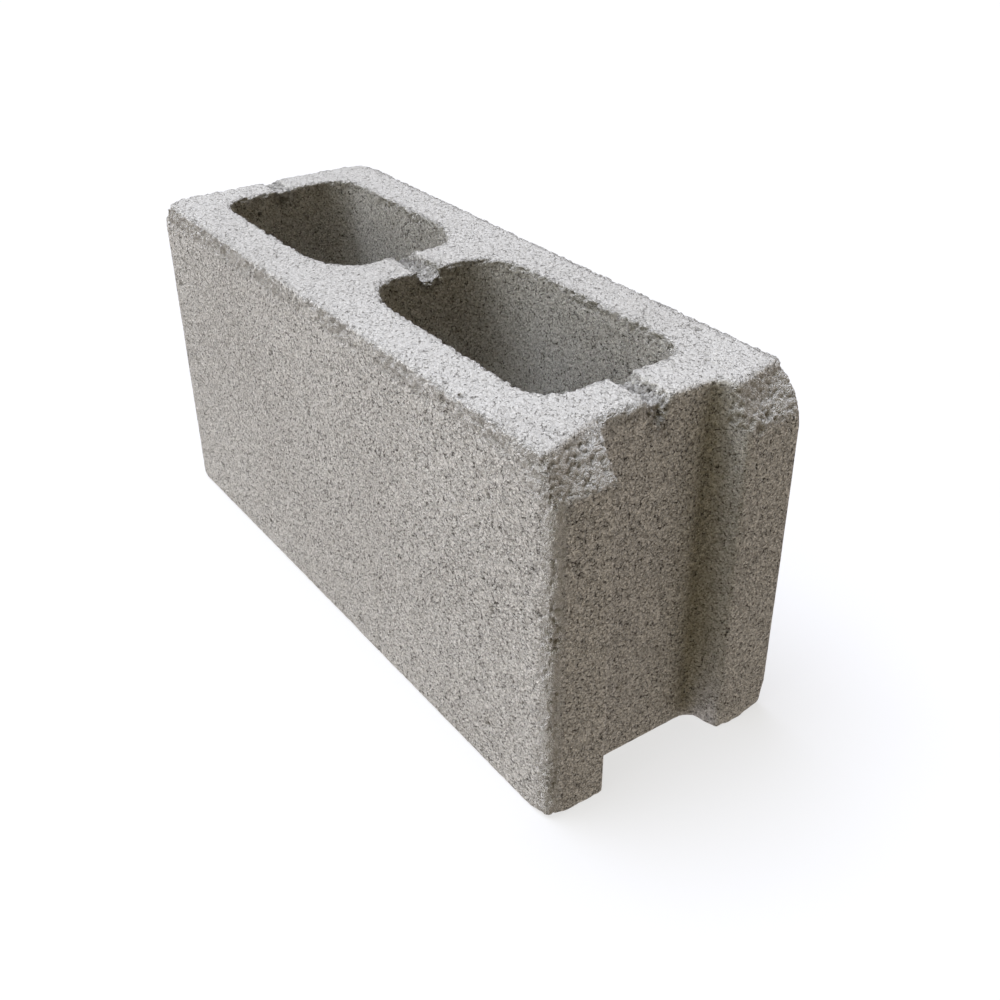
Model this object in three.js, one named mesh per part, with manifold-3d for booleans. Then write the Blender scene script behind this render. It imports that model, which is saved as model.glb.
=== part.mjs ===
// Hollow concrete masonry block, cast in one piece in a steel mould.
// One end is plain, the other has two ears with a full-height recess between them.
// Millimetres, +Z up. X runs along the block towards its ears, Y runs across it,
// and the origin is the middle of the lower bed.

import * as THREE from 'three';
import { mergeVertices, toCreasedNormals } from 'three/addons/utils/BufferGeometryUtils.js';
import Module from 'manifold-3d';

// Overall section
const blockWidth = 140;
const blockHeight = 190;

// Walls and hollows, in order from the plain end to the eared end
const plainEndWall = 25;
const plainCoreLength = 139;
const centreWeb = 28;
const earedCoreLength = 152;
const earedEndWeb = 28;
const recessDepth = 18;

// Cores: measured at the upper bed, narrowing towards the lower one
const faceShell = 28;
const coreDraft = 3;
const coreEndRadius = 18;
const webFlareLength = 36;
const webFlareWidth = 21;

// End recess and its ears
const earTipWidth = 34;
const earRootWidth = 36;
const recessFillet = 8;
const earTipRadius = 2.5;

// Sloping breaks along the tops of the ears, with their lengths at the recess side and at the
// outer side, and the gentler shoulder above the front one
const frontBreakInnerLength = 14;
const frontBreakOuterLength = 5;
const backBreakInnerLength = 9;
const backBreakOuterLength = 17;
const earBreakHeight = 20;
const shoulderInnerLength = 20;
const shoulderOuterLength = 7;
const shoulderHeight = 12;

// Outer edges, rounded as the concrete leaves the mould and crisp where it stood on its pallet
const cornerRadius = 4;
const upperArrisRadius = 2;
const lowerArrisRadius = 1;

// Scars of the bar that carries the cores, along the middle of the upper bed
const barScarWidth = 13;
const barScarFloorWidth = 7;
const plainScarDepth = 1.5;
const webScarShallowDepth = 2;
const webScarDeepDepth = 6.5;
const endScarDepth = 4.5;
const barNotchWidth = 10;
const barNotchHeight = 15;
const barNotchDepth = 3;

// Fineness of curves, and how far a cutter passes beyond the surface it opens
const arcSteps = 8;
const bevelSteps = 3;
const overrun = 5;
const creaseAngle = Math.PI / 6;

// Stations along X, each from the one before it
const blockLength =
  plainEndWall + plainCoreLength + centreWeb + earedCoreLength + earedEndWeb + recessDepth;
const plainEnd = -blockLength / 2;
const plainCoreStart = plainEnd + plainEndWall;
const plainCoreEnd = plainCoreStart + plainCoreLength;
const earedCoreStart = plainCoreEnd + centreWeb;
const earedCoreEnd = earedCoreStart + earedCoreLength;
const recessFace = earedCoreEnd + earedEndWeb;
const earedEnd = recessFace + recessDepth;
const halfWidth = blockWidth / 2;
const coreHalfWidth = halfWidth - faceShell;

const wasm = await Module();
wasm.setup();

/** Turns a closed geometry into a solid that can be joined and cut. */
function toSolid(geometry) {
  const bare = geometry.clone();
  bare.deleteAttribute('normal');
  bare.deleteAttribute('uv');
  const merged = mergeVertices(bare);
  return new wasm.Manifold(new wasm.Mesh({
    numProp: 3,
    vertProperties: new Float32Array(merged.attributes.position.array),
    triVerts: new Uint32Array(merged.index.array),
  }));
}

/** Turns a solid back into a geometry, smooth on its curves and crisp at its edges. */
function toGeometry(solid) {
  const mesh = solid.getMesh();
  const geometry = new THREE.BufferGeometry();
  geometry.setAttribute('position', new THREE.BufferAttribute(mesh.vertProperties, 3));
  geometry.setIndex(new THREE.BufferAttribute(mesh.triVerts, 1));
  return toCreasedNormals(geometry, creaseAngle);
}

/** Adds a rounded corner to a path, where the straight stretches meet at `corner`. */
function roundCorner(path, before, corner, after, radius) {
  const towardsBefore = before.clone().sub(corner).normalize();
  const towardsAfter = after.clone().sub(corner).normalize();
  const halfAngle = towardsBefore.angleTo(towardsAfter) / 2;
  const reach = radius / Math.tan(halfAngle);
  const start = corner.clone().addScaledVector(towardsBefore, reach);
  const end = corner.clone().addScaledVector(towardsAfter, reach);
  const toCentre = towardsBefore.clone().add(towardsAfter).normalize();
  const centre = corner.clone().addScaledVector(toCentre, radius / Math.sin(halfAngle));
  const startAngle = start.clone().sub(centre).angle();
  const endAngle = end.clone().sub(centre).angle();
  const turnsLeft = corner.clone().sub(before).cross(after.clone().sub(corner)) > 0;
  path.lineTo(start.x, start.y);
  path.absarc(centre.x, centre.y, radius, startAngle, endAngle, !turnsLeft);
}

/** Draws a closed outline through corners given as [x, y, radius]. */
function roundedOutline(corners) {
  const points = corners.map(([x, y]) => new THREE.Vector2(x, y));
  const outline = new THREE.Shape();
  const first = points[0].clone().lerp(points[points.length - 1], 0.5);
  outline.moveTo(first.x, first.y);
  points.forEach((corner, index) => {
    const before = points[(index + points.length - 1) % points.length];
    const after = points[(index + 1) % points.length];
    roundCorner(outline, before, corner, after, corners[index][2]);
  });
  outline.closePath();
  return outline;
}

/** Plan of the block: a plain rectangle with the recess between its two ears. */
function blockPlan() {
  const mouth = halfWidth - earTipWidth;
  const root = halfWidth - earRootWidth;
  return roundedOutline([
    [plainEnd, -halfWidth, cornerRadius],
    [earedEnd, -halfWidth, cornerRadius],
    [earedEnd, -mouth, earTipRadius],
    [recessFace, -root, recessFillet],
    [recessFace, root, recessFillet],
    [earedEnd, mouth, earTipRadius],
    [earedEnd, halfWidth, cornerRadius],
    [plainEnd, halfWidth, cornerRadius],
  ]);
}

/** The plan extruded to the block's height, with both arrises rounded alike. */
function roundedPrism(arrisRadius) {
  const geometry = new THREE.ExtrudeGeometry(blockPlan(), {
    depth: blockHeight - 2 * arrisRadius,
    curveSegments: arcSteps,
    bevelEnabled: true,
    bevelThickness: arrisRadius,
    bevelSize: arrisRadius,
    bevelOffset: -arrisRadius,
    bevelSegments: bevelSteps,
  });
  geometry.translate(0, 0, arrisRadius);
  return toSolid(geometry);
}

/** The moulded body without its hollows, its upper arris rounder than its lower one. */
function mouldedBody() {
  const middle = blockHeight / 2;
  const upperHalf = roundedPrism(upperArrisRadius).trimByPlane([0, 0, 1], middle);
  const lowerHalf = roundedPrism(lowerArrisRadius).trimByPlane([0, 0, -1], -middle);
  return upperHalf.add(lowerHalf);
}

/**
 * Plan of a core at the upper bed, from its outer end to the centre web.
 * The web flares out where it meets the face shells, so those corners are quarter ellipses.
 */
function corePlan(outerEnd, webEnd) {
  const away = Math.sign(webEnd - outerEnd);
  const flareStart = webEnd - away * webFlareLength;
  const flareSide = coreHalfWidth - webFlareWidth;
  const endStart = outerEnd + away * coreEndRadius;
  const endSide = coreHalfWidth - coreEndRadius;
  const outline = new THREE.Shape();
  outline.moveTo(endStart, -coreHalfWidth);
  outline.lineTo(flareStart, -coreHalfWidth);
  const flareFrom = away > 0 ? 0 : Math.PI;
  quarterEllipse(outline, flareStart, -flareSide, webFlareLength, webFlareWidth, -Math.PI / 2, flareFrom);
  outline.lineTo(webEnd, flareSide);
  quarterEllipse(outline, flareStart, flareSide, webFlareLength, webFlareWidth, flareFrom, Math.PI / 2);
  outline.lineTo(endStart, coreHalfWidth);
  const endFrom = away > 0 ? Math.PI : 0;
  quarterEllipse(outline, endStart, endSide, coreEndRadius, coreEndRadius, Math.PI / 2, endFrom);
  outline.lineTo(outerEnd, -endSide);
  quarterEllipse(outline, endStart, -endSide, coreEndRadius, coreEndRadius, endFrom, -Math.PI / 2);
  return outline;
}

/** Adds the shorter arc of an ellipse between two of its axis directions. */
function quarterEllipse(path, x, y, radiusX, radiusY, from, to) {
  const turn = Math.atan2(Math.sin(to - from), Math.cos(to - from));
  path.absellipse(x, y, radiusX, radiusY, from, from + turn, turn < 0);
}

/** The hollow left by one core, narrowing downwards by the draft that lets the core out. */
function coreHollow(outerEnd, webEnd) {
  const geometry = new THREE.ExtrudeGeometry(corePlan(outerEnd, webEnd), {
    depth: blockHeight + 2 * overrun,
    curveSegments: arcSteps,
    bevelEnabled: false,
  });
  geometry.translate(0, 0, -overrun);
  const middle = (outerEnd + webEnd) / 2;
  const halfLength = Math.abs(webEnd - outerEnd) / 2;
  const position = geometry.attributes.position;
  for (let index = 0; index < position.count; index += 1) {
    const inset = coreDraft * (1 - position.getZ(index) / blockHeight);
    const fromMiddle = position.getX(index) - middle;
    position.setX(index, middle + fromMiddle * (1 - inset / halfLength));
    position.setY(index, position.getY(index) * (1 - inset / coreHalfWidth));
  }
  return toSolid(geometry);
}

/** A prism along X between two stations, from a profile of [y, z] points. */
function prismAlongX(profile, from, to) {
  const outline = new THREE.Shape(profile.map(([y, z]) => new THREE.Vector2(y, z)));
  const geometry = new THREE.ExtrudeGeometry(outline, { depth: to - from, bevelEnabled: false });
  const axes = new THREE.Matrix4().makeBasis(
    new THREE.Vector3(0, 1, 0),
    new THREE.Vector3(0, 0, 1),
    new THREE.Vector3(1, 0, 0),
  );
  geometry.applyMatrix4(axes);
  geometry.translate(from, 0, 0);
  return toSolid(geometry);
}

/**
 * One slope of the break on top of an ear: the front ear at side -1, the back one at 1. It starts
 * at the given lengths from the end and falls by the given height.
 */
function earBreak(side, innerLength, outerLength, height) {
  const innerY = halfWidth - earRootWidth - overrun;
  const outerY = halfWidth + overrun;
  const lengthPerY = (outerLength - innerLength) / earRootWidth;
  const ends = [
    [innerY, innerLength - overrun * lengthPerY],
    [outerY, outerLength + overrun * lengthPerY],
  ];
  const corners = ends.flatMap(([y, length]) => [
    [earedEnd - length, side * y, blockHeight + overrun],
    [earedEnd - length, side * y, blockHeight],
    [earedEnd, side * y, blockHeight - height],
    [earedEnd + overrun, side * y, blockHeight - height],
    [earedEnd + overrun, side * y, blockHeight + overrun],
  ]);
  return wasm.Manifold.hull(corners);
}

/** The trough that the core bar leaves across the top of a web, its depth given at both ends. */
function barScar(from, to, depthFrom, depthTo) {
  const halfTop = barScarWidth / 2;
  const halfFloor = barScarFloorWidth / 2;
  const trough = prismAlongX([
    [-halfFloor, 0],
    [halfFloor, 0],
    [halfTop, depthFrom],
    [halfTop, depthFrom + overrun],
    [-halfTop, depthFrom + overrun],
    [-halfTop, depthFrom],
  ], from, to);
  const fall = (depthTo - depthFrom) / (to - from);
  return trough.warp((point) => {
    point[2] += blockHeight - depthFrom - fall * (point[0] - from);
  });
}

/** The V-shaped notch that the bar leaves in the face of the recess. */
function barNotch() {
  const spread = barNotchWidth * overrun / (2 * barNotchHeight);
  return prismAlongX([
    [0, blockHeight - barNotchHeight],
    [barNotchWidth / 2 + spread, blockHeight + overrun],
    [-barNotchWidth / 2 - spread, blockHeight + overrun],
  ], recessFace - barNotchDepth, recessFace + overrun);
}

/** The whole block. */
function hollowBlock() {
  const cuts = [
    coreHollow(plainCoreStart, plainCoreEnd),
    coreHollow(earedCoreEnd, earedCoreStart),
    earBreak(-1, shoulderInnerLength, shoulderOuterLength, shoulderHeight),
    earBreak(-1, frontBreakInnerLength, frontBreakOuterLength, earBreakHeight),
    earBreak(1, backBreakInnerLength, backBreakOuterLength, earBreakHeight),
    barScar(plainEnd - overrun, plainCoreStart + overrun, plainScarDepth, plainScarDepth),
    barScar(plainCoreEnd, earedCoreStart, webScarShallowDepth, webScarDeepDepth),
    barScar(earedCoreEnd - overrun, recessFace + overrun, endScarDepth, endScarDepth),
    barNotch(),
  ];
  return cuts.reduce((block, cut) => block.subtract(cut), mouldedBody());
}

const concrete = new THREE.MeshStandardMaterial({
  color: 0xb4b1aa,
  roughness: 0.95,
  metalness: 0,
});

const block = new THREE.Mesh(toGeometry(hollowBlock()), concrete);
block.name = 'hollow_block';

const model = new THREE.Group();
model.name = 'concrete_block';
model.add(block);

export default model;
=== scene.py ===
"""Looks of a hollow concrete block: its worn, grainy skin, its concrete, and a plain studio.

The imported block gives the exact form. This script copies that form, refines it, wears its
arrises, breaks the tops of its ears and gives it the open grain of dry-cast concrete.
Lengths in the classes are millimetres unless a name says otherwise; Blender works in metres.
"""

import logging
import math
from dataclasses import dataclass, field
from enum import Enum

import bpy
import numpy as np
from mathutils import Matrix, Vector

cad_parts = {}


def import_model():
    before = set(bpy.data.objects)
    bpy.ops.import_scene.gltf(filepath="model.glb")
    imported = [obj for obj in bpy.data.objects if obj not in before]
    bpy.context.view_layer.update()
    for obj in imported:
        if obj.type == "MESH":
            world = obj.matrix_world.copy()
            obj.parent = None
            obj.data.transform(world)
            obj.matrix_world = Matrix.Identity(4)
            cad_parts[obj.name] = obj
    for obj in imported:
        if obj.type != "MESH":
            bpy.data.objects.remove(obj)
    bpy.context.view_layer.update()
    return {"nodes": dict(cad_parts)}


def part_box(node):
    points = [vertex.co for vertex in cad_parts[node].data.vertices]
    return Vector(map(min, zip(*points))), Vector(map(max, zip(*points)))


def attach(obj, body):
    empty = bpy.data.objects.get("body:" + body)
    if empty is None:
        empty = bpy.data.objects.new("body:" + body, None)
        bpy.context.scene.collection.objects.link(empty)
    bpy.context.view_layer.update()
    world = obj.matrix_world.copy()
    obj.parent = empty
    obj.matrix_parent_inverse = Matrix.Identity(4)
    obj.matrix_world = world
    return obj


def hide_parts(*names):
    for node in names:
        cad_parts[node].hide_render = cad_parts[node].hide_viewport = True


MM = 0.001
BLOCK_NODE = "hollow_block"

# Large odd numbers that scramble a lattice cell's coordinates into a random number.
CELL_PRIMES = (73856093, 19349663, 83492791)
SEED_PRIME = 2654435761
SCRAMBLER = 2246822519
SCRAMBLE_SHIFTS = (15, 13, 16)
WORD = 2**32

log = logging.getLogger("block")


# ---------------------------------------------------------------------------
# Noise measured in millimetres
# ---------------------------------------------------------------------------


def lattice_random(cells: np.ndarray, seed: int) -> np.ndarray:
    """Gives each whole-number lattice cell its own repeatable random number.

    Args:
        cells: Whole-number cell coordinates, shape (..., 3).
        seed: Number that sets one pattern apart from another.

    Returns:
        Numbers from 0 to 1, shape (...).
    """
    whole = cells.astype(np.int64).astype(np.uint64)
    mixed = np.full(whole.shape[:-1], seed * SEED_PRIME % WORD, np.uint64)
    for axis, prime in enumerate(CELL_PRIMES):
        mixed ^= whole[..., axis] * np.uint64(prime)
    for shift in SCRAMBLE_SHIFTS:
        mixed = (mixed ^ (mixed >> np.uint64(shift))) * np.uint64(SCRAMBLER)
        mixed &= np.uint64(WORD - 1)
    return mixed.astype(np.float64) / WORD


def smooth_noise(points: np.ndarray, size: float, seed: int) -> np.ndarray:
    """Soft rolling noise.

    Args:
        points: Places in millimetres, shape (n, 3).
        size: Width of one swelling, in millimetres.
        seed: Number that sets one pattern apart from another.

    Returns:
        Numbers from -1 to 1, shape (n,).
    """
    scaled = points / size
    corner = np.floor(scaled)
    part = scaled - corner
    part = part * part * (3.0 - 2.0 * part)
    total = np.zeros(len(points))
    for step in np.ndindex(2, 2, 2):
        offset = np.array(step)
        weight = np.prod(np.where(offset == 1, part, 1.0 - part), axis=1)
        total += weight * lattice_random(corner + offset, seed)
    return total * 2.0 - 1.0


@dataclass(frozen=True)
class GrainField:
    """Grains packed at random, as each place sees them.

    `distance` is how far the middle of the nearest grain is, in grain spacings, `value` that
    grain's random number, and `radius` the radius of a grain, in grain spacings.
    """

    distance: np.ndarray
    value: np.ndarray
    radius: float = 0.72

    def hollow(self) -> np.ndarray:
        """Gives 0 on the crown of a round grain and 1 in the gap between grains."""
        return 1.0 - np.sqrt(np.clip(1.0 - (self.distance / self.radius) ** 2, 0.0, 1.0))


def grains(points: np.ndarray, size: float, seed: int) -> GrainField:
    """Finds the grain that each place belongs to.

    Args:
        points: Places in millimetres, shape (n, 3).
        size: Mean spacing of the grains, in millimetres.
        seed: Number that sets one packing apart from another.

    Returns:
        The nearest grain of each place.
    """
    scaled = points / size
    cell = np.floor(scaled)
    nearest = np.full(len(points), np.inf)
    value = np.zeros(len(points))
    for step in np.ndindex(3, 3, 3):
        neighbour = cell + (np.array(step) - 1)
        middle = np.stack(
            [neighbour[:, axis] + lattice_random(neighbour, seed + axis) for axis in range(3)],
            axis=1,
        )
        distance = np.linalg.norm(scaled - middle, axis=1)
        closer = distance < nearest
        value = np.where(closer, lattice_random(neighbour, seed + 7), value)
        nearest = np.where(closer, distance, nearest)
    return GrainField(nearest, value)


def ramp(values: np.ndarray, low: float, high: float) -> np.ndarray:
    """Rises smoothly from 0 at `low` to 1 at `high`.

    Args:
        values: Numbers to place between the two ends.
        low: Where the rise starts; it may be the larger of the two for a fall.
        high: Where the rise ends.

    Returns:
        Numbers from 0 to 1.
    """
    part = np.clip((values - low) / (high - low), 0.0, 1.0)
    return part * part * (3.0 - 2.0 * part)


class Grain(Enum):
    """Kinds of grain in the skin's form: spacing in millimetres, and number of the packing.

    The real mix has sand under 2 mm and grit of 2 to 3 mm, and breaks along lumps of a few
    millimetres. Sand finer than the mesh is left to the finish.
    """

    SAND = (1.8, 22)
    GRIT = (2.6, 21)
    LUMP = (2.5, 25)
    LOBE = (4.0, 24)
    CLOD = (4.6, 23)
    PIT = (7.5, 31)

    def at(self, points: np.ndarray) -> GrainField:
        """Finds this kind's nearest grain for places in millimetres."""
        return grains(points, *self.value)


@dataclass(frozen=True)
class TornFace:
    """How grains stand in a torn or rubbed face. Depths are in millimetres.

    `gap` is how deep the gaps between grains lie, `step` how unevenly the grains stand, `fine`
    how much a finer pattern adds, and `proud` how far the whole face is lifted again, so that
    the grains stand about the form and not below it.
    """

    gap: float
    step: float
    fine: float
    proud: float

    def depth(self, hollow: np.ndarray, value: np.ndarray, finer: np.ndarray) -> np.ndarray:
        """Gives how far the face lies below its form.

        Args:
            hollow: Gaps between the grains, from 0 to 1.
            value: Random number of each grain.
            finer: Finer pattern, from 0 to 1.

        Returns:
            The depth of each place, in millimetres.
        """
        return self.gap * hollow + self.step * value + self.fine * finer - self.proud


# ---------------------------------------------------------------------------
# Node helpers
# ---------------------------------------------------------------------------


def linear(hex_colour: str) -> tuple[float, float, float, float]:
    """Turns an sRGB hex colour into linear light.

    Args:
        hex_colour: Six hex digits after a hash sign.

    Returns:
        Red, green, blue and alpha, linear.
    """
    channels = [int(hex_colour[i : i + 2], 16) / 255.0 for i in (1, 3, 5)]
    light = [c / 12.92 if c <= 0.04045 else ((c + 0.055) / 1.055) ** 2.4 for c in channels]
    return (*light, 1.0)


def add_node(
    tree: bpy.types.NodeTree,
    kind: str,
    settings: dict[str, object] | None = None,
    inputs: dict[str | int, object] | None = None,
) -> bpy.types.Node:
    """Adds one node, sets its properties, and fills or links its inputs.

    Args:
        tree: Node tree that gets the node.
        kind: Blender's name for the node type.
        settings: Node properties by name.
        inputs: Input values by socket name or number; an output socket is linked instead.

    Returns:
        The new node.
    """
    node = tree.nodes.new(kind)
    for name, value in (settings or {}).items():
        setattr(node, name, value)
    for name, value in (inputs or {}).items():
        socket = node.inputs[name]
        if isinstance(value, bpy.types.NodeSocket):
            tree.links.new(value, socket)
        else:
            socket.default_value = value
    return node


def empty_material(name: str) -> bpy.types.Material:
    """Makes a material with an empty node tree.

    Args:
        name: Name of the material.

    Returns:
        The new material.
    """
    material = bpy.data.materials.new(name)
    material.use_nodes = True
    material.node_tree.nodes.clear()
    return material


# ---------------------------------------------------------------------------
# Finishes
# ---------------------------------------------------------------------------


class Mark(Enum):
    """Marks that the skin carries for its finish, one number for each point."""

    # Open grain: more relief, and a lighter tone that is partly fresh grain and partly painted
    # light.
    OPEN = "open_grain"
    # Painted shade in the hollows of the relief.
    HOLLOW = "hollow"
    SHADE = "shade"


@dataclass(frozen=True)
class DryCastConcrete:
    """Dry-cast concrete: an earth-moist mix of sand, grit and cement, vibrated in a steel mould.

    The mix is too dry to flow. The mould presses a skin of cement and sand flat, and the places
    where the grains did not close up stay as small pits, darkened with painted shade. A broken
    face shows the grains, painted lighter, partly as fresh grain and partly as painted light.
    The eye sees a matt, pale grey, sandy face; its hollows get a warm brown painted shade.

    Sizes and reliefs are in millimetres. The grit is 1 to 3 mm and the sand 0.3 to 1 mm, so
    both are drawn at a real size. Cement dust is under 0.1 mm, too fine to show, and is drawn
    at 0.5 mm. Shares go from 0 to 1.
    """

    name: str = "moulded dry-cast concrete"
    paste: str = "#c9c7c2"
    dark_grain: str = "#8d877e"
    # Pale sand, also laid over the open grain, where it is partly painted light.
    light_grain: str = "#f2efe8"
    # Warm brown painted shade for the pits and hollows, also laid on the scars.
    pit_shade: str = "#4a453c"
    grit_size: float = 1.4
    sand_size: float = 0.75
    dust_size: float = 0.5
    dust_relief: float = 0.3
    dust_between: float = 0.6
    grain_share: float = 0.5
    grain_height: float = 0.45
    grain_stretch: float = 1.6
    grain_run: tuple[float, float, float] = (0.76, -0.5, 0.42)
    grain_contrast: float = 0.65
    bed_contrast: float = 0.55
    end_contrast: float = 0.3
    fresh_grain_and_painted_light: float = 1.0
    open_patch_size: float = 6.0
    patch_size: float = 85.0
    patch_contrast: float = 0.3
    pressing: float = 0.5
    open_pressing: float = 0.5
    pressed_edge: float = 0.1
    patch_relief: float = 0.2
    pit_floor: float = 0.3
    pit_contrast: float = 0.95
    hollow_shade_strength: float = 0.28
    open_hollow_shade_strength: float = 0.18
    relief: float = 1.8
    open_relief: float = 1.2
    end_relief: float = 1.0
    roughness: float = 0.93
    specular: float = 0.2

    def material(self) -> bpy.types.Material:
        """Builds the concrete's node material.

        Returns:
            The finished material.
        """
        material = empty_material(self.name)
        tree = material.node_tree
        place = self._drawn_out(tree, add_node(tree, "ShaderNodeTexCoord").outputs["Object"])
        upright = self._facing(tree, "Z", 0.9, 0.4)
        end = self._facing(tree, "X", 0.6, 0.95)
        grit = self._cells(tree, place, self.grit_size)
        sand = self._cells(tree, place, self.sand_size)
        dust = self._noise(tree, place, self.dust_size, 2.0)
        pack = self._pack(tree, grit, sand, dust)
        patches = self._noise(tree, place, self.open_patch_size, 2.0)
        closed = self._sum(tree, "MULTIPLY_ADD", patches, self.patch_relief, self.pressing)
        mark = self._mark(tree, Mark.OPEN)
        opened = self._sum(tree, "MULTIPLY_ADD", mark, self.open_pressing, closed)
        height = self._sum(tree, "SMOOTH_MIN", pack, opened, self.pressed_edge)
        height = self._sum(tree, "MULTIPLY_ADD", dust, self.dust_relief, height)
        pit = self._fade(tree, pack, closed, self.pit_floor)
        reach = self._fade(tree, mark, 0.0, 1.0, self.open_relief * MM)
        reach = self._sum(tree, "ADD", reach, self.relief * MM)
        reach = self._sum(tree, "MULTIPLY_ADD", end, self.end_relief * MM, reach)
        bump = add_node(
            tree,
            "ShaderNodeBump",
            inputs={"Strength": 1.0, "Distance": reach, "Height": height},
        )
        shader = add_node(
            tree,
            "ShaderNodeBsdfPrincipled",
            inputs={
                "Base Color": self._colour(tree, place, sand, pit, upright, end),
                "Roughness": self.roughness,
                "Metallic": 0.0,
                "IOR": 1.5,
                "Specular IOR Level": self.specular,
                "Normal": bump.outputs["Normal"],
            },
        )
        add_node(
            tree,
            "ShaderNodeOutputMaterial",
            inputs={"Surface": shader.outputs["BSDF"]},
        )
        return material

    def _drawn_out(
        self, tree: bpy.types.NodeTree, place: bpy.types.NodeSocket
    ) -> bpy.types.NodeSocket:
        """Draws the grain out aslant.

        A grain that stands proud looks round from a low angle, where a flat pattern looks
        squashed. Drawing the pattern out along the usual view makes up for that.

        Args:
            tree: Node tree of the material.
            place: Place on the block, in metres.

        Returns:
            The place in the drawn-out pattern.
        """
        turn = Vector(self.grain_run).to_track_quat("X", "Z").to_euler()
        inputs = {"Vector": place, "Rotation": turn, "Scale": (self.grain_stretch, 1.0, 1.0)}
        settings = {"vector_type": "TEXTURE"}
        return add_node(tree, "ShaderNodeMapping", settings, inputs).outputs["Vector"]

    def _facing(
        self, tree: bpy.types.NodeTree, axis: str, low: float, high: float
    ) -> bpy.types.NodeSocket:
        """Tells faces apart by how squarely they face along an axis.

        Args:
            tree: Node tree of the material.
            axis: X along the block, Y across it or Z up.
            low: Squareness that gives 0; a face square to the axis has 1.
            high: Squareness that gives 1.

        Returns:
            The mark of each place, from 0 to 1.
        """
        normal = add_node(tree, "ShaderNodeNewGeometry").outputs["Normal"]
        along = add_node(tree, "ShaderNodeSeparateXYZ", inputs={0: normal}).outputs[axis]
        return self._fade(tree, self._sum(tree, "ABSOLUTE", along), low, high)

    def _mark(self, tree: bpy.types.NodeTree, mark: Mark) -> bpy.types.NodeSocket:
        """Reads one of the skin's marks.

        Args:
            tree: Node tree of the material.
            mark: Mark to read.

        Returns:
            The mark's number at each place.
        """
        settings = {"attribute_name": mark.value}
        return add_node(tree, "ShaderNodeAttribute", settings).outputs["Fac"]

    def _sum(
        self, tree: bpy.types.NodeTree, operation: str, *values: object
    ) -> bpy.types.NodeSocket:
        """Does one sum with numbers or sockets.

        Args:
            tree: Node tree of the material.
            operation: Blender's name for the sum.
            *values: Numbers or sockets, in the order of the node's inputs.

        Returns:
            The result.
        """
        inputs = dict(enumerate(values))
        return add_node(tree, "ShaderNodeMath", {"operation": operation}, inputs).outputs[0]

    def _fade(
        self, tree: bpy.types.NodeTree, value: object, low: object, high: object, top: float = 1.0
    ) -> bpy.types.NodeSocket:
        """Maps a value from 0 at `low` to `top` at `high`, and holds it there beyond.

        Args:
            tree: Node tree of the material.
            value: Number or socket to map.
            low: Value that gives 0.
            high: Value that gives `top`.
            top: Greatest result.

        Returns:
            The mapped value.
        """
        inputs = {"Value": value, "From Min": low, "From Max": high, "To Max": top}
        return add_node(tree, "ShaderNodeMapRange", {"clamp": True}, inputs).outputs["Result"]

    def _blend(
        self, tree: bpy.types.NodeTree, under: object, over: object, share: object
    ) -> bpy.types.NodeSocket:
        """Lays a share of one colour over another.

        Args:
            tree: Node tree of the material.
            under: Colour below.
            over: Colour laid over it.
            share: How much of it covers the one below, from 0 to 1.

        Returns:
            The blended colour.
        """
        inputs = {"Factor": share, 6: under, 7: over}
        return add_node(tree, "ShaderNodeMix", {"data_type": "RGBA"}, inputs).outputs[2]

    def _noise(
        self, tree: bpy.types.NodeTree, place: bpy.types.NodeSocket, size: float, detail: float
    ) -> bpy.types.NodeSocket:
        """Makes soft noise.

        Args:
            tree: Node tree of the material.
            place: Place in the pattern, in metres.
            size: Width of one swelling, in millimetres.
            detail: How many finer layers it has.

        Returns:
            Noise from 0 to 1.
        """
        inputs = {"Vector": place, "Scale": 1.0 / (size * MM), "Detail": detail}
        return add_node(tree, "ShaderNodeTexNoise", inputs=inputs).outputs["Fac"]

    def _cells(
        self, tree: bpy.types.NodeTree, place: bpy.types.NodeSocket, size: float
    ) -> bpy.types.Node:
        """Packs grains at random.

        Args:
            tree: Node tree of the material.
            place: Place in the pattern, in metres.
            size: Mean spacing of the grains, in millimetres.

        Returns:
            The node that knows each place's grain.
        """
        inputs = {"Vector": place, "Scale": 1.0 / (size * MM)}
        return add_node(tree, "ShaderNodeTexVoronoi", {"feature": "F1"}, inputs)

    def _tone(
        self, tree: bpy.types.NodeTree, cells: bpy.types.Node, channel: str
    ) -> bpy.types.NodeSocket:
        """Gives each grain its own random number.

        Args:
            tree: Node tree of the material.
            cells: Pack of grains.
            channel: Which of the grain's three random numbers.

        Returns:
            The number, from 0 to 1.
        """
        inputs = {"Color": cells.outputs["Color"]}
        return add_node(tree, "ShaderNodeSeparateColor", inputs=inputs).outputs[channel]

    def _dome(self, tree: bpy.types.NodeTree, cells: bpy.types.Node) -> bpy.types.NodeSocket:
        """Builds round grains that stand more or less proud.

        Args:
            tree: Node tree of the material.
            cells: Pack of grains.

        Returns:
            The height of the grains, about 1 on the crown of the proudest.
        """
        distance = cells.outputs["Distance"]
        fall = self._sum(tree, "MULTIPLY", distance, distance)
        random = self._tone(tree, cells, "Blue")
        crown = self._fade(tree, random, 0.0, 1.0, 1.0 - self.grain_height)
        crown = self._sum(tree, "ADD", crown, self.grain_height)
        return self._sum(tree, "SUBTRACT", crown, fall)

    def _pack(
        self,
        tree: bpy.types.NodeTree,
        grit: bpy.types.Node,
        sand: bpy.types.Node,
        dust: bpy.types.NodeSocket,
    ) -> bpy.types.NodeSocket:
        """Heaps up grit, sand and dust.

        Args:
            tree: Node tree of the material.
            grit: Pack of grit.
            sand: Pack of sand.
            dust: Fine grain between the sand.

        Returns:
            The height of the loose pack, mostly from 0.3 to 1.
        """
        share = self.grain_share
        pack = self._sum(tree, "MULTIPLY", self._dome(tree, grit), share)
        pack = self._sum(tree, "MULTIPLY_ADD", self._dome(tree, sand), share, pack)
        return self._sum(tree, "MULTIPLY_ADD", dust, self.dust_between, pack)

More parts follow.
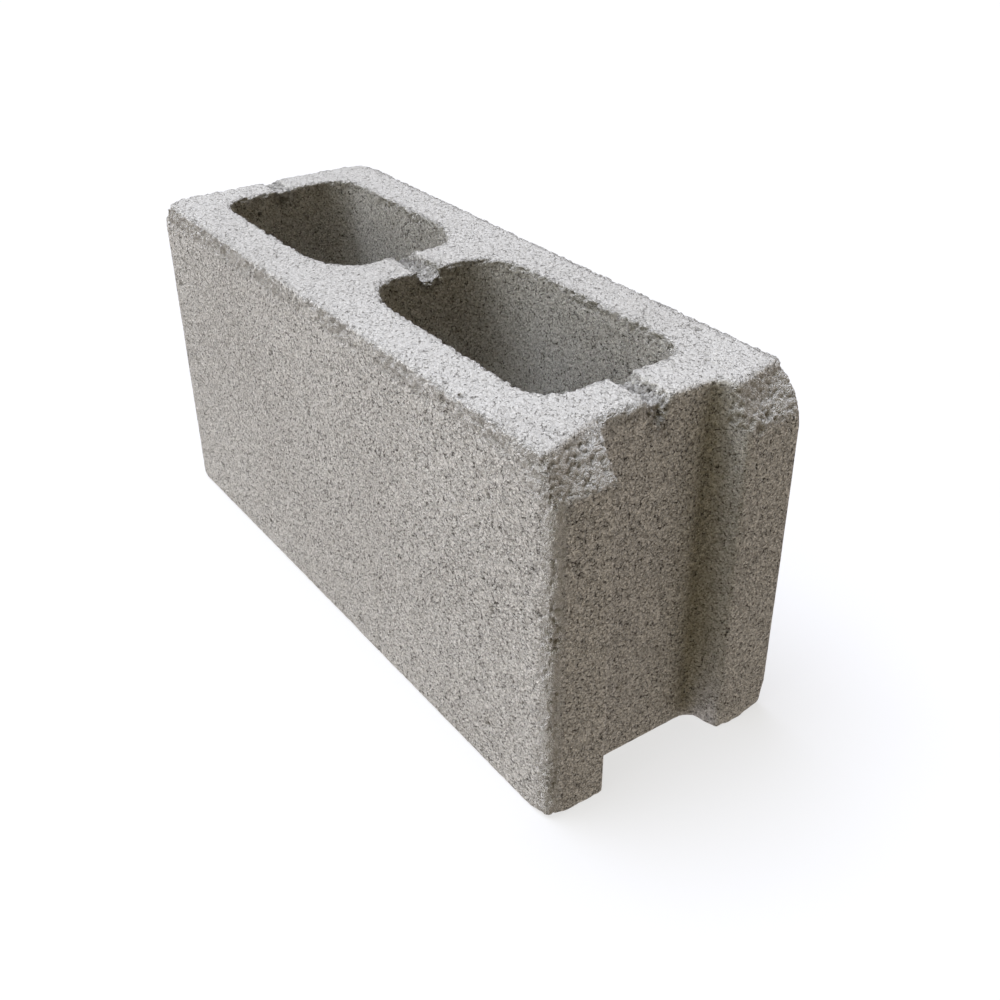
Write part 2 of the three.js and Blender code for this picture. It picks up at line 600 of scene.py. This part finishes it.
    def _colour(
        self,
        tree: bpy.types.NodeTree,
        place: bpy.types.NodeSocket,
        sand: bpy.types.Node,
        pit: bpy.types.NodeSocket,
        upright: bpy.types.NodeSocket,
        end: bpy.types.NodeSocket,
    ) -> bpy.types.NodeSocket:
        """Colours the paste, its grains and its patches, and paints shade into its pits and
        hollows.

        Args:
            tree: Node tree of the material.
            place: Place on the block, in metres.
            sand: Pack of sand.
            pit: How far a place lies down in a pit, from 0 to 1.
            upright: Mark of the upright faces, from 0 to 1.
            end: Mark of the faces across the block, from 0 to 1.

        Returns:
            The base colour.
        """
        patch = self._noise(tree, place, self.patch_size, 4.0)
        opened = self._mark(tree, Mark.OPEN)
        # Painted shade by facing: the grain's tones and the painted pit shade are stronger on
        # upright faces than on the beds, and stronger again on the ends.
        clear = self._fade(tree, upright, 0.0, 1.0, 1.0 - self.bed_contrast)
        clear = self._sum(tree, "ADD", clear, self.bed_contrast)
        clear = self._sum(tree, "MULTIPLY_ADD", end, self.end_contrast, clear)
        light = self._fade(tree, self._tone(tree, sand, "Green"), 0.3, 1.0, self.grain_contrast)
        dark = self._fade(tree, self._tone(tree, sand, "Red"), 0.4, 1.0, self.grain_contrast)
        # Open grain gets fewer dark grains and less painted pit shade, which lightens it, partly as
        # painted light.
        dark = self._sum(tree, "MULTIPLY", dark, self._fade(tree, opened, 1.3, 0.3))
        # Painted shade in the low places of the pack, the pits between the grains.
        shadow = self._fade(tree, pit, 0.25, 1.0, self.pit_contrast)
        shadow = self._sum(tree, "MULTIPLY", shadow, self._fade(tree, opened, 1.2, 0.3))
        # Strength of the painted shade in the hollows, a little less where the grain is open.
        cleaner = self.open_hollow_shade_strength - self.hollow_shade_strength
        between = self._sum(tree, "MULTIPLY_ADD", opened, cleaner, self.hollow_shade_strength)
        layers = (
            (self.dark_grain, self._fade(tree, patch, 0.4, 0.75, self.patch_contrast)),
            # Lighter open grain: partly fresh grain, partly painted light on breaks, crumbly strips
            # and the ear's upright corner.
            (self.light_grain, self._fade(tree, opened, 0.3, 1.0, self.fresh_grain_and_painted_light)),
            (self.light_grain, self._sum(tree, "MULTIPLY", light, clear)),
            (self.dark_grain, self._sum(tree, "MULTIPLY", dark, clear)),
            # Painted shade in the pits.
            (self.pit_shade, self._sum(tree, "MULTIPLY", shadow, clear)),
            # Painted shade in the hollows of the relief.
            (self.pit_shade, self._sum(tree, "MULTIPLY", self._mark(tree, Mark.HOLLOW), between)),
            (self.pit_shade, self._mark(tree, Mark.SHADE)),
        )
        colour: object = linear(self.paste)
        for over, share in layers:
            colour = self._blend(tree, colour, linear(over), share)
        return colour


@dataclass(frozen=True)
class LightTable:
    """Opal acrylic sheet over lamps: the glowing top of a light table.

    The sheet scatters the lamps below it, so the eye sees an even white with no glare, and a
    soft grey only where something stands in the light from above.
    """

    name: str = "opal acrylic light table"
    colour: str = "#8c8c8e"
    glow: str = "#ffffff"
    glow_strength: float = 0.68
    roughness: float = 0.6

    def material(self) -> bpy.types.Material:
        """Builds the acrylic's node material.

        Returns:
            The finished material.
        """
        material = empty_material(self.name)
        tree = material.node_tree
        shader = add_node(
            tree,
            "ShaderNodeBsdfPrincipled",
            inputs={
                "Base Color": linear(self.colour),
                "Roughness": self.roughness,
                "Specular IOR Level": 0.0,
                "Emission Color": linear(self.glow),
                "Emission Strength": self.glow_strength,
            },
        )
        add_node(
            tree,
            "ShaderNodeOutputMaterial",
            inputs={"Surface": shader.outputs["BSDF"]},
        )
        return material


# ---------------------------------------------------------------------------
# The block
# ---------------------------------------------------------------------------


@dataclass
class SkinMesh:
    """Points, edges and normals of a mesh as arrays, in millimetres."""

    points: np.ndarray
    edges: np.ndarray
    normals: np.ndarray

    @classmethod
    def read(cls, mesh: bpy.types.Mesh) -> "SkinMesh":
        """Copies a mesh into arrays.

        Args:
            mesh: Mesh to read.

        Returns:
            Its arrays.
        """
        edges = np.empty(len(mesh.edges) * 2, np.int32)
        mesh.edges.foreach_get("vertices", edges)
        points = cls._vectors(mesh, "co") / MM
        return cls(points, edges.reshape(-1, 2), cls._vectors(mesh, "normal"))

    @staticmethod
    def _vectors(mesh: bpy.types.Mesh, kind: str) -> np.ndarray:
        """Reads one vector for each point of a mesh.

        Args:
            mesh: Mesh to read.
            kind: Blender's name for the vector, co or normal.

        Returns:
            The vectors, shape (n, 3).
        """
        flat = np.empty(len(mesh.vertices) * 3, np.float32)
        mesh.vertices.foreach_get(kind, flat)
        return flat.reshape(-1, 3).astype(np.float64)

    def read_normals(self, mesh: bpy.types.Mesh) -> None:
        """Takes the present normals of the mesh."""
        self.normals = self._vectors(mesh, "normal")

    def write(self, mesh: bpy.types.Mesh) -> None:
        """Puts the points back into a mesh.

        Args:
            mesh: Mesh that gets them.
        """
        mesh.vertices.foreach_set("co", (self.points * MM).astype(np.float32).ravel())
        mesh.update()

    def neighbour_mean(self, values: np.ndarray) -> np.ndarray:
        """Averages a value over the neighbours of each point.

        Args:
            values: One number or vector for each point.

        Returns:
            The mean over each point's neighbours, in the same shape.
        """
        first, second = self.edges[:, 0], self.edges[:, 1]
        count = len(self.points)
        degree = np.bincount(first, minlength=count) + np.bincount(second, minlength=count)
        columns = values.reshape(count, -1)
        total = np.empty_like(columns)
        for column in range(columns.shape[1]):
            total[:, column] = np.bincount(
                first, weights=columns[second, column], minlength=count
            ) + np.bincount(second, weights=columns[first, column], minlength=count)
        return (total / np.maximum(degree, 1)[:, None]).reshape(values.shape)

    def spread(self, values: np.ndarray, rounds: int) -> np.ndarray:
        """Blurs a value over the surface.

        Args:
            values: One number or vector for each point.
            rounds: How many times it is averaged with its neighbours.

        Returns:
            The blurred value.
        """
        for _ in range(rounds):
            values = 0.5 * values + 0.5 * self.neighbour_mean(values)
        return values


@dataclass(frozen=True)
class Chip:
    """A place where a few grains have broken away. Lengths are in millimetres.

    `raggedness` and `floor` are shares of the reach: how far the edge strays, and how wide the
    deepest part is.
    """

    place: tuple[float, float, float]
    reach: float
    depth: float
    raggedness: float = 0.45
    floor: float = 0.35

    def hollow(self, points: np.ndarray, ragged: np.ndarray) -> np.ndarray:
        """Gives how far the chip takes the surface back.

        Args:
            points: Places in millimetres.
            ragged: Noise of each place, which makes the chip's edge uneven.

        Returns:
            Depth of the chip at each place, in millimetres.
        """
        away = np.linalg.norm(points - np.array(self.place), axis=1)
        away += self.raggedness * self.reach * ragged
        return self.depth * ramp(away, self.reach, self.floor * self.reach)


@dataclass(frozen=True)
class WornZones:
    """Marks from 0 to 1, one number for each point, of how the skin has suffered.

    `broken` is the breaks on the ears, `scarred` the scars of the core bar, `crumbly` the
    strips that lost grains, and `rubbed` the worn arrises.
    """

    broken: np.ndarray
    scarred: np.ndarray
    crumbly: np.ndarray
    rubbed: np.ndarray


@dataclass
class ConcreteBlock:
    """The block's skin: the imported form, refined, worn, broken and grained.

    Lengths are in millimetres, and wear is in rounds of smoothing. The skin stays in the
    packed box.
    """

    # The mesh. The closed grain weighs next to nothing when it is thinned, so that the
    # fine places keep nearly all of their triangles.
    voxel: float = 0.8
    quick_voxel: float = 1.5
    triangle_limit: int = 196_000
    closed_weight: float = 1e-4
    box_margin: float = 0.05
    # Where the form has its recess, breaks, scars and cores.
    recess_depth: float = 18.0
    break_length: float = 20.0
    break_height: float = 20.0
    break_side: float = 34.5
    scar_middle: float = -0.5
    scar_half_width: float = 6.5
    plain_wall: float = 15.0
    end_web: float = 20.0
    core_side: float = 52.0
    # Rubbing, in rounds of smoothing: everywhere, in rubbed patches, and at most.
    base_wear: float = 2.5
    patch_wear: tuple[float, float] = (8.0, 38.0)
    most_wear: float = 130.0
    wear_step: float = 0.6
    # Relief of the pressed skin, its pits and its damage.
    skin_depth: float = 0.12
    grit_gap: float = 0.04
    pit_depth: float = 1.1
    broken_face: TornFace = TornFace(gap=1.2, step=0.5, fine=0.4, proud=0.75)
    scarred_face: TornFace = TornFace(gap=1.3, step=0.7, fine=0.5, proud=0.6)
    crumbled_strip: TornFace = TornFace(gap=1.3, step=0.9, fine=0.6, proud=0.3)
    rubbed_arris: TornFace = TornFace(gap=1.3, step=0.6, fine=0.4, proud=0.8)
    chips: tuple[Chip, ...] = (
        Chip((28.0, -70.0, 186.0), 3.5, 1.8),
        Chip((86.0, -70.0, 186.0), 2.8, 1.8),
        Chip((117.0, -70.0, 184.0), 3.4, 2.0),
        Chip((146.0, -70.0, 184.5), 4.0, 2.4),
        Chip((-75.0, -70.0, 186.0), 3.4, 2.0),
        Chip((-106.0, -70.0, 185.0), 3.4, 2.2),
        Chip((-195.0, -70.0, 190.0), 15.0, 3.0),
        Chip((164.0, 40.0, 190.0), 3.6, 1.0),
        Chip((158.0, 44.0, 190.0), 2.4, 0.8),
        Chip((136.0, 38.0, 188.0), 5.5, 1.5),
        Chip((-166.0, 6.0, 188.0), 5.0, 1.8),
        Chip((194.0, 50.0, 174.0), 3.4, 2.2),
        Chip((194.0, 43.0, 169.0), 3.0, 2.0),
    )
    finish: DryCastConcrete = field(default_factory=DryCastConcrete)
    low: np.ndarray = field(init=False)
    high: np.ndarray = field(init=False)
    recess_face: float = field(init=False)

    def build(self, node: bpy.types.Object) -> bpy.types.Object:
        """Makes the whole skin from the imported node.

        Args:
            node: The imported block.

        Returns:
            The dressed block.
        """
        low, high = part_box(BLOCK_NODE)
        self.low = np.array(low) / MM
        self.high = np.array(high) / MM
        self.recess_face = self.high[0] - self.recess_depth
        skin = self._refined_copy(node)
        arrays = SkinMesh.read(skin.data)
        arris = self._arrises(arrays)
        self._wear(arrays)
        arrays.write(skin.data)
        arrays.read_normals(skin.data)
        marks = self._roughen(arrays, arris)
        self._keep_inside(arrays)
        arrays.write(skin.data)
        self._store_marks(skin.data, marks)
        upper = 0.3 * ramp(arrays.points[:, 2], 120.0, 185.0)
        self._thin_out(skin, marks[Mark.OPEN] + marks[Mark.SHADE] + upper)
        skin.data.shade_smooth()
        skin.data.materials.clear()
        skin.data.materials.append(self.finish.material())
        return skin

    def _refined_copy(self, node: bpy.types.Object) -> bpy.types.Object:
        """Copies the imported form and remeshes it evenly.

        Args:
            node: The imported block.

        Returns:
            A new object with an even fine mesh.
        """
        skin = bpy.data.objects.new("concrete_block", node.data.copy())
        bpy.context.scene.collection.objects.link(skin)
        modifier = skin.modifiers.new("even mesh", "REMESH")
        modifier.mode = "VOXEL"
        modifier.voxel_size = self.voxel * MM
        self._apply(skin)
        return skin

    def _apply(self, skin: bpy.types.Object) -> None:
        """Turns an object's modifiers into its mesh.

        Args:
            skin: Object with modifiers.
        """
        graph = bpy.context.evaluated_depsgraph_get()
        mesh = bpy.data.meshes.new_from_object(skin.evaluated_get(graph), depsgraph=graph)
        old = skin.data
        skin.modifiers.clear()
        skin.data = mesh
        bpy.data.meshes.remove(old)

    def _near(self, points: np.ndarray, reach: float, **planes: float) -> np.ndarray:
        """Marks what lies near an arris or a corner of the box.

        Args:
            points: Places in millimetres.
            reach: How far the mark goes, in millimetres.
            **planes: The planes x, y and z that meet in the arris or corner.

        Returns:
            1 on the arris or corner, falling to 0 at the reach.
        """
        away = [points[:, "xyz".index(axis)] - value for axis, value in planes.items()]
        return ramp(np.sqrt(sum(step**2 for step in away)), reach, 0.35 * reach)

    def _arrises(self, skin: SkinMesh) -> np.ndarray:
        """Marks the outward edges of the form, from 0 to 1.

        Args:
            skin: The block's mesh before any wear.

        Returns:
            The mark of each point, strong on the upper bed's edges and weak on the lower bed's.
        """
        mean = skin.spread(skin.normals, 5)
        length = np.linalg.norm(mean, axis=1)
        inward = np.einsum("ij,ij->i", skin.neighbour_mean(skin.points) - skin.points, mean)
        outward = skin.spread((inward < 0.0).astype(float), 2)
        turned = ramp(1.0 - length, 0.02, 0.14) * ramp(outward, 0.3, 0.7)
        height = ramp(skin.points[:, 2], 4.0, 30.0)
        return skin.spread(turned, 3) * (0.35 + 0.65 * height)

    def _wear_rounds(self, points: np.ndarray) -> np.ndarray:
        """Says how long each place has been rubbed, in rounds of smoothing.

        Args:
            points: Places in millimetres.

        Returns:
            The wear of each place.
        """
        plain, front, bottom = self.low
        eared, back, top = self.high
        least, most = self.patch_wear
        patch = 0.5 + 0.5 * smooth_noise(points, 26.0, 3)
        fine_patch = 0.5 + 0.5 * smooth_noise(points, 9.0, 4)
        rubbed = least + (most - least) * patch * fine_patch
        foot = self._near(points, 9.0, x=eared, z=top - self.break_height)
        # Each area with its share of the patchy rubbing and the rounds that it gets all over.
        areas = (
            # Arrises of the upper bed
            (self._near(points, 12.0, y=front, z=top), 0.5, 5.0),
            (self._near(points, 12.0, y=back, z=top), 1.0, 0.0),
            (self._near(points, 12.0, x=plain, z=top), 1.0, 6.0),
            (self._core_rims(points), 0.4, 0.0),
            # Upright edges
            (self._near(points, 14.0, x=eared, y=front), 1.0, 45.0),
            (self._near(points, 12.0, x=eared, y=back), 0.5, 0.0),
            (self._near(points, 10.0, x=plain, y=front), 0.6, 0.0),
            (self._near(points, 9.0, x=eared, y=38.0), 0.0, 20.0),
            # Edges and foot of the breaks on the ears
            (self._near(points, 20.0, x=eared - 7.0, z=top - 3.0), 0.5, 6.0),
            (self._near(points, 22.0, x=eared - 2.0, y=front, z=top - 14.0), 0.0, 60.0),
            (foot * (points[:, 1] > 34.0), 0.0, 50.0),
            # Corners that were knocked off
            (self._near(points, 15.0, x=plain, y=front, z=top), 0.0, 110.0),
            (self._near(points, 22.0, x=plain, y=back, z=top), 0.0, 110.0),
            (self._near(points, 20.0, x=eared, y=back, z=bottom), 0.0, 80.0),
        )
        level = np.full(len(points), self.base_wear)
        for mask, patchy, steady in areas:
            level = np.maximum(level, mask * (patchy * rubbed + steady))
        return np.minimum(level, self.most_wear) * self._wear_scale()

    def _round_cores(self, points: np.ndarray) -> np.ndarray:
        """Marks the middle of the block, which holds both cores and their rims.

        Args:
            points: Places in millimetres.

        Returns:
            1 there and 0 at the block's outer faces.
        """
        x, y, _ = points.T
        past_wall = x > self.low[0] + self.plain_wall
        before_web = x < self.recess_face - self.end_web
        return past_wall * before_web * (np.abs(y) < self.core_side)

    def _core_rims(self, points: np.ndarray) -> np.ndarray:
        """Marks the rims of the cores, apart from the scars between them.

        Args:
            points: Places in millimetres.

        Returns:
            The mark of each place, from 0 to 1.
        """
        _, y, z = points.T
        aside = np.abs(y - self.scar_middle) - self.scar_half_width
        high = ramp(self.high[2] - z, 9.0, 6.0)
        return self._round_cores(points) * ramp(aside, 3.0, 9.0) * high

    def _wear_scale(self) -> float:
        """Gives how many rounds of smoothing make one round of wear; on the fine mesh it is one."""
        return 1.0

    def _wear(self, skin: SkinMesh) -> None:
        """Rounds the arrises by smoothing, longer where the block is more worn.

        Args:
            skin: The block's mesh, changed in place.
        """
        level = self._wear_rounds(skin.points)
        for turn in range(math.ceil(float(level.max()))):
            share = np.clip(level - turn, 0.0, 1.0)[:, None] * self.wear_step
            mean = skin.neighbour_mean(skin.points)
            skin.points += (mean - skin.points) * share

    def _broken_zone(self, points: np.ndarray) -> np.ndarray:
        """Marks the breaks on the ears, from 0 to 1.

        Args:
            points: Places in millimetres.

        Returns:
            The mark of each place.
        """
        x, y, z = points.T
        down = self.high[2] - z
        ears = ramp(down, self.break_height + 3.0, self.break_height - 1.0) * ramp(down, 1.0, 4.0)
        start = self.high[0] - self.break_length
        return ears * ramp(x, start, start + 6.0) * (np.abs(y) > self.break_side)

    def _scar_zone(self, points: np.ndarray) -> np.ndarray:
        """Marks the scars and the notch that the core bar leaves in the webs, from 0 to 1.

        Args:
            points: Places in millimetres.

        Returns:
            The mark of each place.
        """
        x, y, z = points.T
        down = self.high[2] - z
        aside = np.abs(y - self.scar_middle)
        scars = ramp(aside, self.scar_half_width + 1.0, self.scar_half_width - 1.5)
        scars *= ramp(down, 13.0, 9.0) * ramp(down, 0.2, 0.9) * (x < self.recess_face + 1)
        notch = ramp(aside, self.scar_half_width + 1.0, self.scar_half_width - 2.0)
        notch *= ramp(x, self.recess_face - 6.0, self.recess_face - 4.0) * (x < self.high[0] - 8.0)
        return np.maximum(scars, 0.7 * notch * ramp(down, 22.0, 17.0) * ramp(down, 0.5, 2.0))

    def _notch_zone(self, points: np.ndarray) -> np.ndarray:
        """Marks the thin lip round the notch, which is too slender to crumble.

        Args:
            points: Places in millimetres.

        Returns:
            The mark of each place, from 0 to 1.
        """
        x, y, z = points.T
        aside = np.abs(y - self.scar_middle)
        zone = ramp(aside, self.scar_half_width + 4.0, self.scar_half_width + 1.0)
        zone *= ramp(x, self.recess_face - 12.0, self.recess_face - 8.0)
        return zone * ramp(self.high[2] - z, 24.0, 20.0)

    def _rim_zone(self, points: np.ndarray, normals: np.ndarray) -> np.ndarray:
        """Marks the strip of core wall under the rim, where the core tore grains out.

        Args:
            points: Places in millimetres.
            normals: Blurred normals of the same places.

        Returns:
            The mark of each place, from 0 to 1.
        """
        wall = self._round_cores(points) * ramp(np.abs(normals[:, 2]), 0.85, 0.5)
        patch = 0.35 + 0.65 * ramp(smooth_noise(points, 11.0, 42), -0.4, 0.3)
        return 0.5 * wall * patch * ramp(self.high[2] - points[:, 2], 9.0, 5.0)

    def _crumbly_zone(self, points: np.ndarray) -> np.ndarray:
        """Marks the strips where grains have dropped out beside an arris, from 0 to 1.

        Args:
            points: Places in millimetres.

        Returns:
            The mark of each place.
        """
        plain, front, _ = self.low
        eared, back, top = self.high
        patch = 0.4 + 0.6 * ramp(smooth_noise(points, 14.0, 41), -0.6, 0.2)
        lip = ramp(np.abs(points[:, 1] + 20.0), 16.0, 13.0)
        strips = (
            self._near(points, 8.0, y=front, z=top - 6.0),
            self._near(points, 10.0, x=eared, y=front),
            self._near(points, 6.5, x=self.recess_face, z=top - 3.0) * lip,
            self._near(points, 7.0, x=plain, z=top - 1.0) * 0.8,
            self._near(points, 6.0, y=back, z=top - 1.0) * 0.7,
        )
        return patch * np.maximum.reduce(strips)

    def _roughen(self, skin: SkinMesh, arris: np.ndarray) -> dict[Mark, np.ndarray]:
        """Moves the skin inwards by its grain, its crumbled arrises, its breaks and its pits.

        Args:
            skin: The block's mesh, changed in place.
            arris: Mark of the outward edges.

        Returns:
            The marks for the finish.
        """
        points = skin.points
        normals = skin.spread(skin.normals, 14)
        normals /= np.linalg.norm(normals, axis=1)[:, None]
        zones = self._zones(skin, arris, normals)
        grit = Grain.GRIT.at(points)
        depth = self._relief(points, zones, grit)
        pit = self._pits(points, zones.crumbly)
        ragged = smooth_noise(points, 2.6, 32)
        chipped = np.max([chip.hollow(points, ragged) for chip in self.chips], axis=0)
        depth = np.maximum(depth + self.pit_depth * pit, chipped + 0.4 * depth)
        skin.points = points - normals * depth[:, None]
        # How deep each point lies in a hollow of the relief; the finish paints shade there.
        rise = np.einsum("ij,ij->i", skin.spread(skin.points, 4) - skin.points, normals)
        upright = 0.25 * (1.0 - np.abs(skin.normals[:, 2]))
        shade = 0.5 * pit + 0.45 * zones.scarred * ramp(grit.value, 0.1, 0.9)
        return {
            Mark.OPEN: np.maximum(self._open_grain(points, zones), upright),
            Mark.HOLLOW: np.clip(rise / 0.35, 0.0, 1.0),
            Mark.SHADE: np.clip(shade, 0.0, 0.6),
        }

    def _zones(self, skin: SkinMesh, arris: np.ndarray, normals: np.ndarray) -> WornZones:
        """Finds the parts of the skin that are not as they left the mould.

        Args:
            skin: The block's mesh.
            arris: Mark of the outward edges.
            normals: Blurred normals of the skin.

        Returns:
            The zones.
        """
        points = skin.points
        clear_of_notch = 1.0 - self._notch_zone(points)
        return WornZones(
            broken=skin.spread(self._broken_zone(points), 3),
            scarred=skin.spread(self._scar_zone(points), 2),
            crumbly=np.maximum(self._crumbly_zone(points), self._rim_zone(points, normals)),
            rubbed=ramp(skin.spread(arris, 12), 0.0, 0.4) * clear_of_notch,
        )

    def _relief(self, points: np.ndarray, zones: WornZones, grit: GrainField) -> np.ndarray:
        """Works out how far the grain lies below the form.

        Args:
            points: Places in millimetres.
            zones: Worn zones of the same places.
            grit: Grit of the same places.

        Returns:
            The depth of each place, in millimetres.
        """
        sand = Grain.SAND.at(points)
        lump = Grain.LUMP.at(points)
        crumb = ramp(Grain.CLOD.at(points).value, 0.45, 0.95)
        gap = grit.hollow()
        broken = self.broken_face.depth(lump.hollow(), lump.value, sand.value)
        scarred = self.scarred_face.depth(gap, grit.value, sand.hollow())
        crumbly = self.crumbled_strip.depth(gap, sand.value, crumb)
        rubbed = self.rubbed_arris.depth(Grain.LOBE.at(points).hollow(), grit.value, gap)
        swell = 0.12 * smooth_noise(points, 50.0, 11) + 0.08 * smooth_noise(points, 15.0, 12)
        depth = self.skin_depth + swell + self.grit_gap * gap
        depth += zones.broken * broken
        depth += zones.scarred * scarred
        depth += zones.crumbly * crumbly
        return depth + zones.rubbed * rubbed

    def _pits(self, points: np.ndarray, crumbly: np.ndarray) -> np.ndarray:
        """Marks the scattered pits where a piece of grit has dropped out.

        Args:
            points: Places in millimetres.
            crumbly: Mark of the crumbly strips, which have more pits.

        Returns:
            The mark of each place, from 0 to 1.
        """
        pits = Grain.PIT.at(points)
        reach = ramp(pits.value, 0.93 - 0.25 * crumbly, 1.0) * 0.26
        return ramp(reach - pits.distance, 0.0, 0.09)

    def _open_grain(self, points: np.ndarray, zones: WornZones) -> np.ndarray:
        """Tells how far the pressed skin is gone and the clean grain shows. The finish paints these
        places lighter, partly as fresh grain and partly as painted light.

        Args:
            points: Places in millimetres.
            zones: Worn zones of the same places.

        Returns:
            The mark of each place, from 0 to 1.
        """
        # The ear's upright corner is marked open as well, giving it more relief and a lighter tone
        # that is painted light on the arris.
        ear_corner = self._near(points, 9.0, x=self.high[0] - 1.5, y=self.low[1] + 1.5)
        shown = 0.5 * zones.rubbed + zones.crumbly + zones.broken + 0.3 * zones.scarred
        return np.clip(shown + 0.7 * ear_corner, 0.0, 1.0)

    def _keep_inside(self, skin: SkinMesh) -> None:
        """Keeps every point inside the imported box.

        Args:
            skin: The block's mesh, changed in place.
        """
        margin = self.box_margin
        skin.points = np.clip(skin.points, self.low + margin, self.high - margin)

    def _store_marks(self, mesh: bpy.types.Mesh, marks: dict[Mark, np.ndarray]) -> None:
        """Writes the marks onto the mesh.

        Args:
            mesh: Mesh that gets them.
            marks: One number for each point, for each mark.
        """
        for mark, values in marks.items():
            attribute = mesh.attributes.new(mark.value, "FLOAT", "POINT")
            attribute.data.foreach_set("value", values.astype(np.float32))

    def _thin_out(self, skin: bpy.types.Object, detail: np.ndarray) -> None:
        """Thins the mesh to stay under the limit of triangles, most where it is flat and closed.

        Args:
            skin: The dressed block.
            detail: How much fine form there is at each point; the mesh stays fine where it is high.
        """
        triangles = sum(len(face.vertices) - 2 for face in skin.data.polygons)
        if triangles > self.triangle_limit:
            group = skin.vertex_groups.new(name="closed grain")
            # Tenths are fine enough, and points that share a weight are added at once.
            tenths = np.round(10.0 * np.clip(1.15 - detail, 0.1, 1.0)).astype(int)
            for tenth in range(1, 11):
                members = np.flatnonzero(tenths == tenth).tolist()
                group.add(members, tenth / 10.0, "REPLACE")
            modifier = skin.modifiers.new("thinner flats", "DECIMATE")
            modifier.decimate_type = "COLLAPSE"
            modifier.ratio = self.triangle_limit / triangles
            modifier.vertex_group = group.name
            modifier.vertex_group_factor = self.closed_weight
            self._apply(skin)
            skin.vertex_groups.clear()
        left = sum(len(face.vertices) - 2 for face in skin.data.polygons)
        log.info("skin: %d triangles from %d", left, triangles)


# ---------------------------------------------------------------------------
# The studio
# ---------------------------------------------------------------------------


@dataclass(frozen=True)
class Softbox:
    """A large soft lamp so far off that its light is even over the whole block.

    `towards` points from the block to the lamp, `width` is how wide the lamp looks from there,
    in degrees, and `light` is its linear red, green and blue.
    """

    name: str
    towards: tuple[float, float, float]
    width: float
    light: tuple[float, float, float]

    def build(self) -> None:
        """Hangs the lamp."""
        lamp = bpy.data.lights.new(self.name, "SUN")
        lamp.angle = math.radians(self.width)
        lamp.energy = max(self.light)
        lamp.color = [part / lamp.energy for part in self.light]
        holder = bpy.data.objects.new(self.name, lamp)
        holder.rotation_euler = Vector(self.towards).to_track_quat("Z", "Y").to_euler()
        bpy.context.scene.collection.objects.link(holder)


@dataclass
class Studio:
    """Plain pale floor, soft light and the camera.

    Lengths are in metres, apart from the sensor's in millimetres and the focal length in
    pixels of a square frame. The camera's axes are unit vectors, and `ambient` is linear light.
    """

    floor_size: float = 30.0
    frame_pixels: float = 1000.0
    focal_pixels: float = 1203.0
    sensor_width: float = 36.0
    camera_place: tuple[float, float, float] = (0.50396, -0.30920, 0.41668)
    camera_right: tuple[float, float, float] = (0.57448, 0.81849, -0.00706)
    camera_down: tuple[float, float, float] = (0.42794, -0.30770, -0.84982)
    ambient: tuple[float, float, float] = (0.18, 0.144, 0.079)
    backdrop: str = "#ffffff"
    lamps: tuple[Softbox, ...] = (
        Softbox("overhead softbox", (-0.37, -0.07, 0.92), 46.0, (2.24, 2.39, 2.99)),
        Softbox("forward overhead softbox", (-0.18, -0.34, 0.92), 46.0, (1.49, 1.55, 1.54)),
        Softbox("front softbox", (-0.21, -0.96, 0.18), 46.0, (0.84, 0.85, 0.83)),
        Softbox("front reflector", (-0.27, -0.88, -0.39), 46.0, (1.13, 1.11, 1.32)),
        Softbox("end reflector", (0.67, 0.69, -0.26), 46.0, (1.27, 1.20, 1.25)),
    )

    def build(self) -> None:
        """Sets up floor, light and camera."""
        self._floor()
        self._world()
        for lamp in self.lamps:
            lamp.build()
        self._camera()
        bpy.context.scene.view_settings.view_transform = "Standard"

    def _floor(self) -> None:
        """Lays the light table's top at the height of the lower bed.

        Light passes through it, so it neither shades the block nor throws light back at it.
        """
        half = self.floor_size / 2
        mesh = bpy.data.meshes.new("light_table")
        rim = [(-half, -half, 0), (half, -half, 0), (half, half, 0), (-half, half, 0)]
        mesh.from_pydata(rim, [], [(0, 1, 2, 3)])
        floor = bpy.data.objects.new("light_table", mesh)
        floor.data.materials.append(LightTable().material())
        floor.visible_diffuse = False
        floor.visible_shadow = False
        bpy.context.scene.collection.objects.link(floor)

    def _world(self) -> None:
        """Fills the studio with a little warm light from all sides, before a white backdrop."""
        world = bpy.data.worlds.new("studio")
        world.use_nodes = True
        tree = world.node_tree
        seen = add_node(tree, "ShaderNodeLightPath").outputs["Is Camera Ray"]
        inputs = {"Factor": seen, 6: (*self.ambient, 1.0), 7: linear(self.backdrop)}
        colour = add_node(tree, "ShaderNodeMix", {"data_type": "RGBA"}, inputs).outputs[2]
        tree.links.new(colour, tree.nodes["Background"].inputs["Color"])
        bpy.context.scene.world = world

    def _camera(self) -> None:
        """Stands the camera at the product view: above the eared end, looking along the block."""
        lens = bpy.data.cameras.new("product_camera")
        lens.sensor_width = self.sensor_width
        lens.lens = self.focal_pixels * self.sensor_width / self.frame_pixels
        lens.clip_start = 0.01
        camera = bpy.data.objects.new("product_camera", lens)
        right = Vector(self.camera_right).normalized()
        up = -Vector(self.camera_down).normalized()
        back = right.cross(up)
        turn = Matrix((right, up, back)).transposed().to_4x4()
        camera.matrix_world = Matrix.Translation(self.camera_place) @ turn
        bpy.context.scene.collection.objects.link(camera)
        bpy.context.scene.camera = camera


def main() -> None:
    """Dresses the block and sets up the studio."""
    logging.basicConfig(level=logging.INFO, format="%(name)s: %(message)s")
    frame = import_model()
    block = ConcreteBlock().build(frame["nodes"][BLOCK_NODE])
    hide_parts(BLOCK_NODE)
    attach(block, "root")
    log.info("block: %d points", len(block.data.vertices))
    Studio().build()
    log.info("studio: floor, lamps and camera")


if __name__ == "__main__":
    main()
